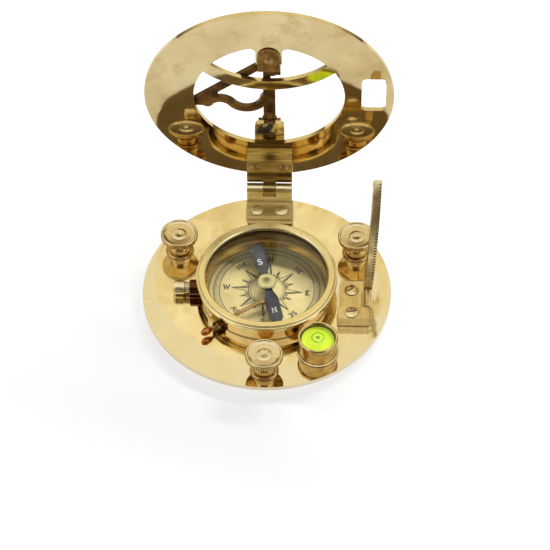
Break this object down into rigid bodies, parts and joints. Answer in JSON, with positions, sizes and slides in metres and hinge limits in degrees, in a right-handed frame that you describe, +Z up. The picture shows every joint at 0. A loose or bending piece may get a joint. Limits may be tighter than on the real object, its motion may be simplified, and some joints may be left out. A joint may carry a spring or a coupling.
{
  "type": "sundial compass",
  "caption": "Folding brass sundial compass: levelled base plate with compass and bull's-eye level, hinged hour ring, folding gnomon and latitude arc.",
  "frame": {"origin": "centre of the base plate's underside", "axes": "+Z up, square to the base plate; +Y towards the hinge of the hour ring, which is north; +X to the right of a user who stands at the south side, towards the latitude arc"},
  "size_m": [0.1, 0.1107, 0.1115],
  "materials": {
    "brass": "polished",
    "aged_brass": "satin",
    "pale_brass": "polished",
    "copper_brass": "satin",
    "card": "satin",
    "blued_steel": "satin",
    "steel": "satin",
    "glass": "clear",
    "level_liquid": "clear",
    "bubble": "clear"
  },
  "bodies": {
    "base": {"base_plate": "brass", "bush_front": "brass", "bush_right": "brass", "bush_left": "brass", "compass_housing": "brass", "housing_screws": "brass", "dial_card": "card", "card_retainer": "brass", "needle_post": "brass", "cover_glass": "glass", "bezel_ring": "pale_brass", "lifter_guide": "brass", "lifter_pin": "steel", "lifter_spring": "brass", "clamp_boss": "copper_brass", "level_cup": "brass", "level_liquid": "level_liquid", "level_bubble": "bubble", "level_glass": "glass", "hinge_foot": "aged_brass", "hinge_foot_screws": "aged_brass", "hinge_pin": "brass", "arc_bracket": "brass", "arc_packing": "brass", "arc_screws": "brass", "arc_pin": "brass"},
    "dial": {"hinge_leaf": "aged_brass", "hinge_spacer_front": "brass", "hinge_spacer_rear": "brass", "hinge_rivets": "copper_brass", "hour_ring": "brass", "gnomon_bracket_top": "copper_brass", "gnomon_bracket_low": "aged_brass", "bracket_rivet": "copper_brass", "bracket_screw": "brass", "gnomon_pins": "steel"},
    "gnomon": {"gnomon": "aged_brass"},
    "arc": {"latitude_arc": "brass"},
    "compass_needle": {"needle": "blued_steel", "needle_cap": "brass"},
    "lifter": {"lifter_lever": "copper_brass", "lifter_button": "copper_brass"},
    "clamp": {"clamp_knob": "brass"},
    "screw_front": {"level_screw_front": "pale_brass"},
    "screw_right": {"level_screw_right": "pale_brass"},
    "screw_left": {"level_screw_left": "pale_brass"}
  },
  "joints": [
    {"name": "dial_tilt", "type": "hinge", "parent": "base", "child": "dial", "pos_m": [0, 0.0474, 0.0108], "axis": [1, 0, 0], "range_deg": [-5, 85]},
    {"name": "gnomon_fold", "type": "hinge", "parent": "dial", "child": "gnomon", "pos_m": [0, 0.05607, 0.05914], "axis": [0, 0.0872, -0.9962], "range_deg": [0, 90]},
    {"name": "arc_fold", "type": "hinge", "parent": "base", "child": "arc", "pos_m": [0.0407, 0, 0.0054], "axis": [0, 1, 0], "range_deg": [-4, 86]},
    {"name": "needle_spin", "type": "hinge", "parent": "base", "child": "compass_needle", "pos_m": [0, 0, 0.0066], "axis": [0, 0, 1], "continuous": true},
    {"name": "lifter_tilt", "type": "hinge", "parent": "base", "child": "lifter", "pos_m": [-0.01907, -0.02118, 0.0048], "axis": [0.6088, -0.7934, 0], "range_deg": [0, 2.2]},
    {"name": "clamp_turn", "type": "hinge", "parent": "base", "child": "clamp", "pos_m": [-0.035, -0.002, 0.00525], "axis": [-1, 0, 0], "range_deg": [0, 360]},
    {"name": "screw_front_turn", "type": "hinge", "parent": "base", "child": "screw_front", "pos_m": [0, -0.0415, 0.005], "axis": [0, 0, 1], "continuous": true},
    {"name": "screw_right_turn", "type": "hinge", "parent": "base", "child": "screw_right", "pos_m": [0.03594, 0.02075, 0.005], "axis": [0, 0, 1], "continuous": true},
    {"name": "screw_left_turn", "type": "hinge", "parent": "base", "child": "screw_left", "pos_m": [-0.03594, 0.02075, 0.005], "axis": [0, 0, 1], "continuous": true}
  ]
}
